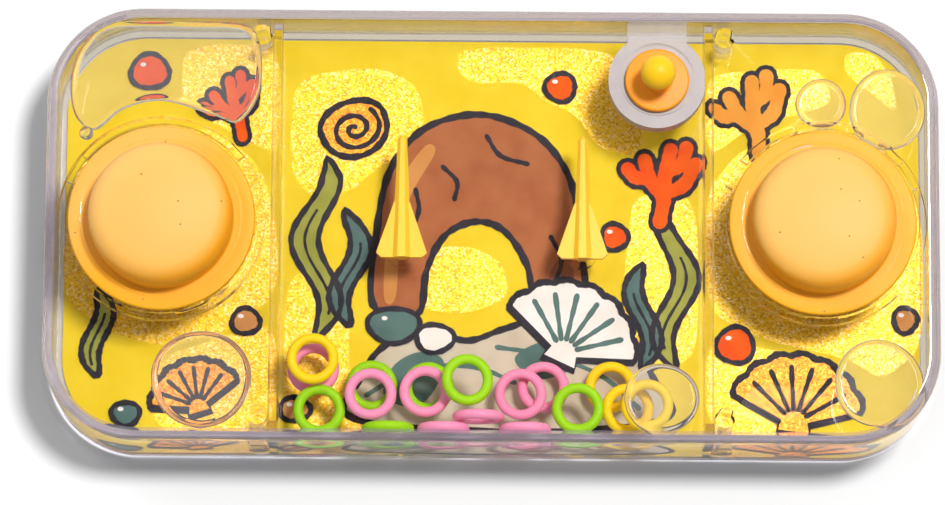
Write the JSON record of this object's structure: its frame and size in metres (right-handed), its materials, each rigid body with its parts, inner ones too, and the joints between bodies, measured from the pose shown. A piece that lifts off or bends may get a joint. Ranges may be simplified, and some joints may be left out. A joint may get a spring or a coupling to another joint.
{
  "type": "handheld water game",
  "caption": "Clear handheld water game: push buttons squirt water into a tank and toss soft rings over pegs in front of a glittery card.",
  "frame": {"origin": "middle of the outline on the rest face, the rim at the back of the case, as the game lies on its back", "axes": "+X along the length of the case to the player's right, +Y towards its top edge, +Z out of the window towards the player"},
  "size_m": [0.15, 0.074, 0.0256],
  "materials": {
    "clear_case": "clear moulded plastic, polished",
    "printed_card": "printed card with glitter foil",
    "cloudy_plastic": "cloudy translucent plastic, satin",
    "plug_rubber": "soft moulded rubber, satin",
    "button_rubber": "soft moulded rubber, satin",
    "peg_plastic": "moulded plastic, gloss",
    "ring_yellow": "soft moulded plastic, matt",
    "ring_green": "soft moulded plastic, matt",
    "ring_pink": "soft moulded plastic, matt"
  },
  "bodies": {
    "case": {"front_shell": "clear_case", "rear_shell": "clear_case", "backing_card": "printed_card", "filler_neck": "cloudy_plastic", "left_button_neck": "button_rubber", "left_clamp_ring": "clear_case", "left_peg": "peg_plastic", "right_button_neck": "button_rubber", "right_clamp_ring": "clear_case", "right_peg": "peg_plastic"},
    "left_button": {"left_button_crown": "button_rubber"},
    "right_button": {"right_button_crown": "button_rubber"},
    "filler_plug": {"filler_plug": "plug_rubber"},
    "ring_yellow_1": {"ring_yellow_1": "ring_yellow"},
    "ring_yellow_2": {"ring_yellow_2": "ring_yellow"},
    "ring_yellow_3": {"ring_yellow_3": "ring_yellow"},
    "ring_yellow_4": {"ring_yellow_4": "ring_yellow"},
    "ring_green_1": {"ring_green_1": "ring_green"},
    "ring_green_2": {"ring_green_2": "ring_green"},
    "ring_green_3": {"ring_green_3": "ring_green"},
    "ring_green_4": {"ring_green_4": "ring_green"},
    "ring_green_5": {"ring_green_5": "ring_green"},
    "ring_green_6": {"ring_green_6": "ring_green"},
    "ring_pink_1": {"ring_pink_1": "ring_pink"},
    "ring_pink_2": {"ring_pink_2": "ring_pink"},
    "ring_pink_3": {"ring_pink_3": "ring_pink"},
    "ring_pink_4": {"ring_pink_4": "ring_pink"},
    "ring_pink_5": {"ring_pink_5": "ring_pink"},
    "ring_pink_6": {"ring_pink_6": "ring_pink"},
    "ring_pink_7": {"ring_pink_7": "ring_pink"},
    "ring_pink_8": {"ring_pink_8": "ring_pink"}
  },
  "joints": [
    {"name": "left_button_press", "type": "slide", "parent": "case", "child": "left_button", "axis": [0, 0, -1], "range_m": [0, 0.0035], "stiffness_N_per_m": 800, "deforming": ["left_button_neck"]},
    {"name": "right_button_press", "type": "slide", "parent": "case", "child": "right_button", "axis": [0, 0, -1], "range_m": [0, 0.0035], "stiffness_N_per_m": 800, "deforming": ["right_button_neck"]},
    {"name": "filler_plug_pull", "type": "slide", "parent": "case", "child": "filler_plug", "axis": [0, 0, 1], "range_m": [0, 0.012]},
    {"name": "ring_yellow_1_hop", "type": "slide", "parent": "case", "child": "ring_yellow_1", "axis": [0, 1, 0], "range_m": [0, 0.052]},
    {"name": "ring_yellow_2_hop", "type": "slide", "parent": "case", "child": "ring_yellow_2", "axis": [0, 1, 0], "range_m": [0, 0.017]},
    {"name": "ring_yellow_3_hop", "type": "slide", "parent": "case", "child": "ring_yellow_3", "axis": [0, 1, 0], "range_m": [0, 0.06]},
    {"name": "ring_yellow_4_hop", "type": "slide", "parent": "case", "child": "ring_yellow_4", "axis": [0, 1, 0], "range_m": [0, 0.041]},
    {"name": "ring_green_1_hop", "type": "slide", "parent": "case", "child": "ring_green_1", "axis": [0, 1, 0], "range_m": [0, 0.06]},
    {"name": "ring_green_2_hop", "type": "slide", "parent": "case", "child": "ring_green_2", "axis": [0, 1, 0], "range_m": [0, 0.017]},
    {"name": "ring_green_3_hop", "type": "slide", "parent": "case", "child": "ring_green_3", "axis": [0, 1, 0], "range_m": [0, 0.017]},
    {"name": "ring_green_4_hop", "type": "slide", "parent": "case", "child": "ring_green_4", "axis": [0, 1, 0], "range_m": [0, 0.056]},
    {"name": "ring_green_5_hop", "type": "slide", "parent": "case", "child": "ring_green_5", "axis": [0, 1, 0], "range_m": [0, 0.02]},
    {"name": "ring_green_6_drift", "type": "slide", "parent": "case", "child": "ring_green_6", "axis": [0, 0, -1], "range_m": [0, 0.0041]},
    {"name": "ring_pink_1_hop", "type": "slide", "parent": "case", "child": "ring_pink_1", "axis": [0, 1, 0], "range_m": [0, 0.053]},
    {"name": "ring_pink_2_hop", "type": "slide", "parent": "case", "child": "ring_pink_2", "axis": [0, 1, 0], "range_m": [0, 0.018]},
    {"name": "ring_pink_3_hop", "type": "slide", "parent": "case", "child": "ring_pink_3", "axis": [0, 1, 0], "range_m": [0, 0.018]},
    {"name": "ring_pink_4_hop", "type": "slide", "parent": "case", "child": "ring_pink_4", "axis": [0, 1, 0], "range_m": [0, 0.057]},
    {"name": "ring_pink_5_hop", "type": "slide", "parent": "case", "child": "ring_pink_5", "axis": [0, 1, 0], "range_m": [0, 0.019]},
    {"name": "ring_pink_6_drift", "type": "slide", "parent": "case", "child": "ring_pink_6", "axis": [0, 0, -1], "range_m": [0, 0.0041]},
    {"name": "ring_pink_7_drift", "type": "slide", "parent": "case", "child": "ring_pink_7", "axis": [0, 0, -1], "range_m": [0, 0.0041]},
    {"name": "ring_pink_8_drift", "type": "slide", "parent": "case", "child": "ring_pink_8", "axis": [0, 0, -1], "range_m": [0, 0.0041]}
  ]
}
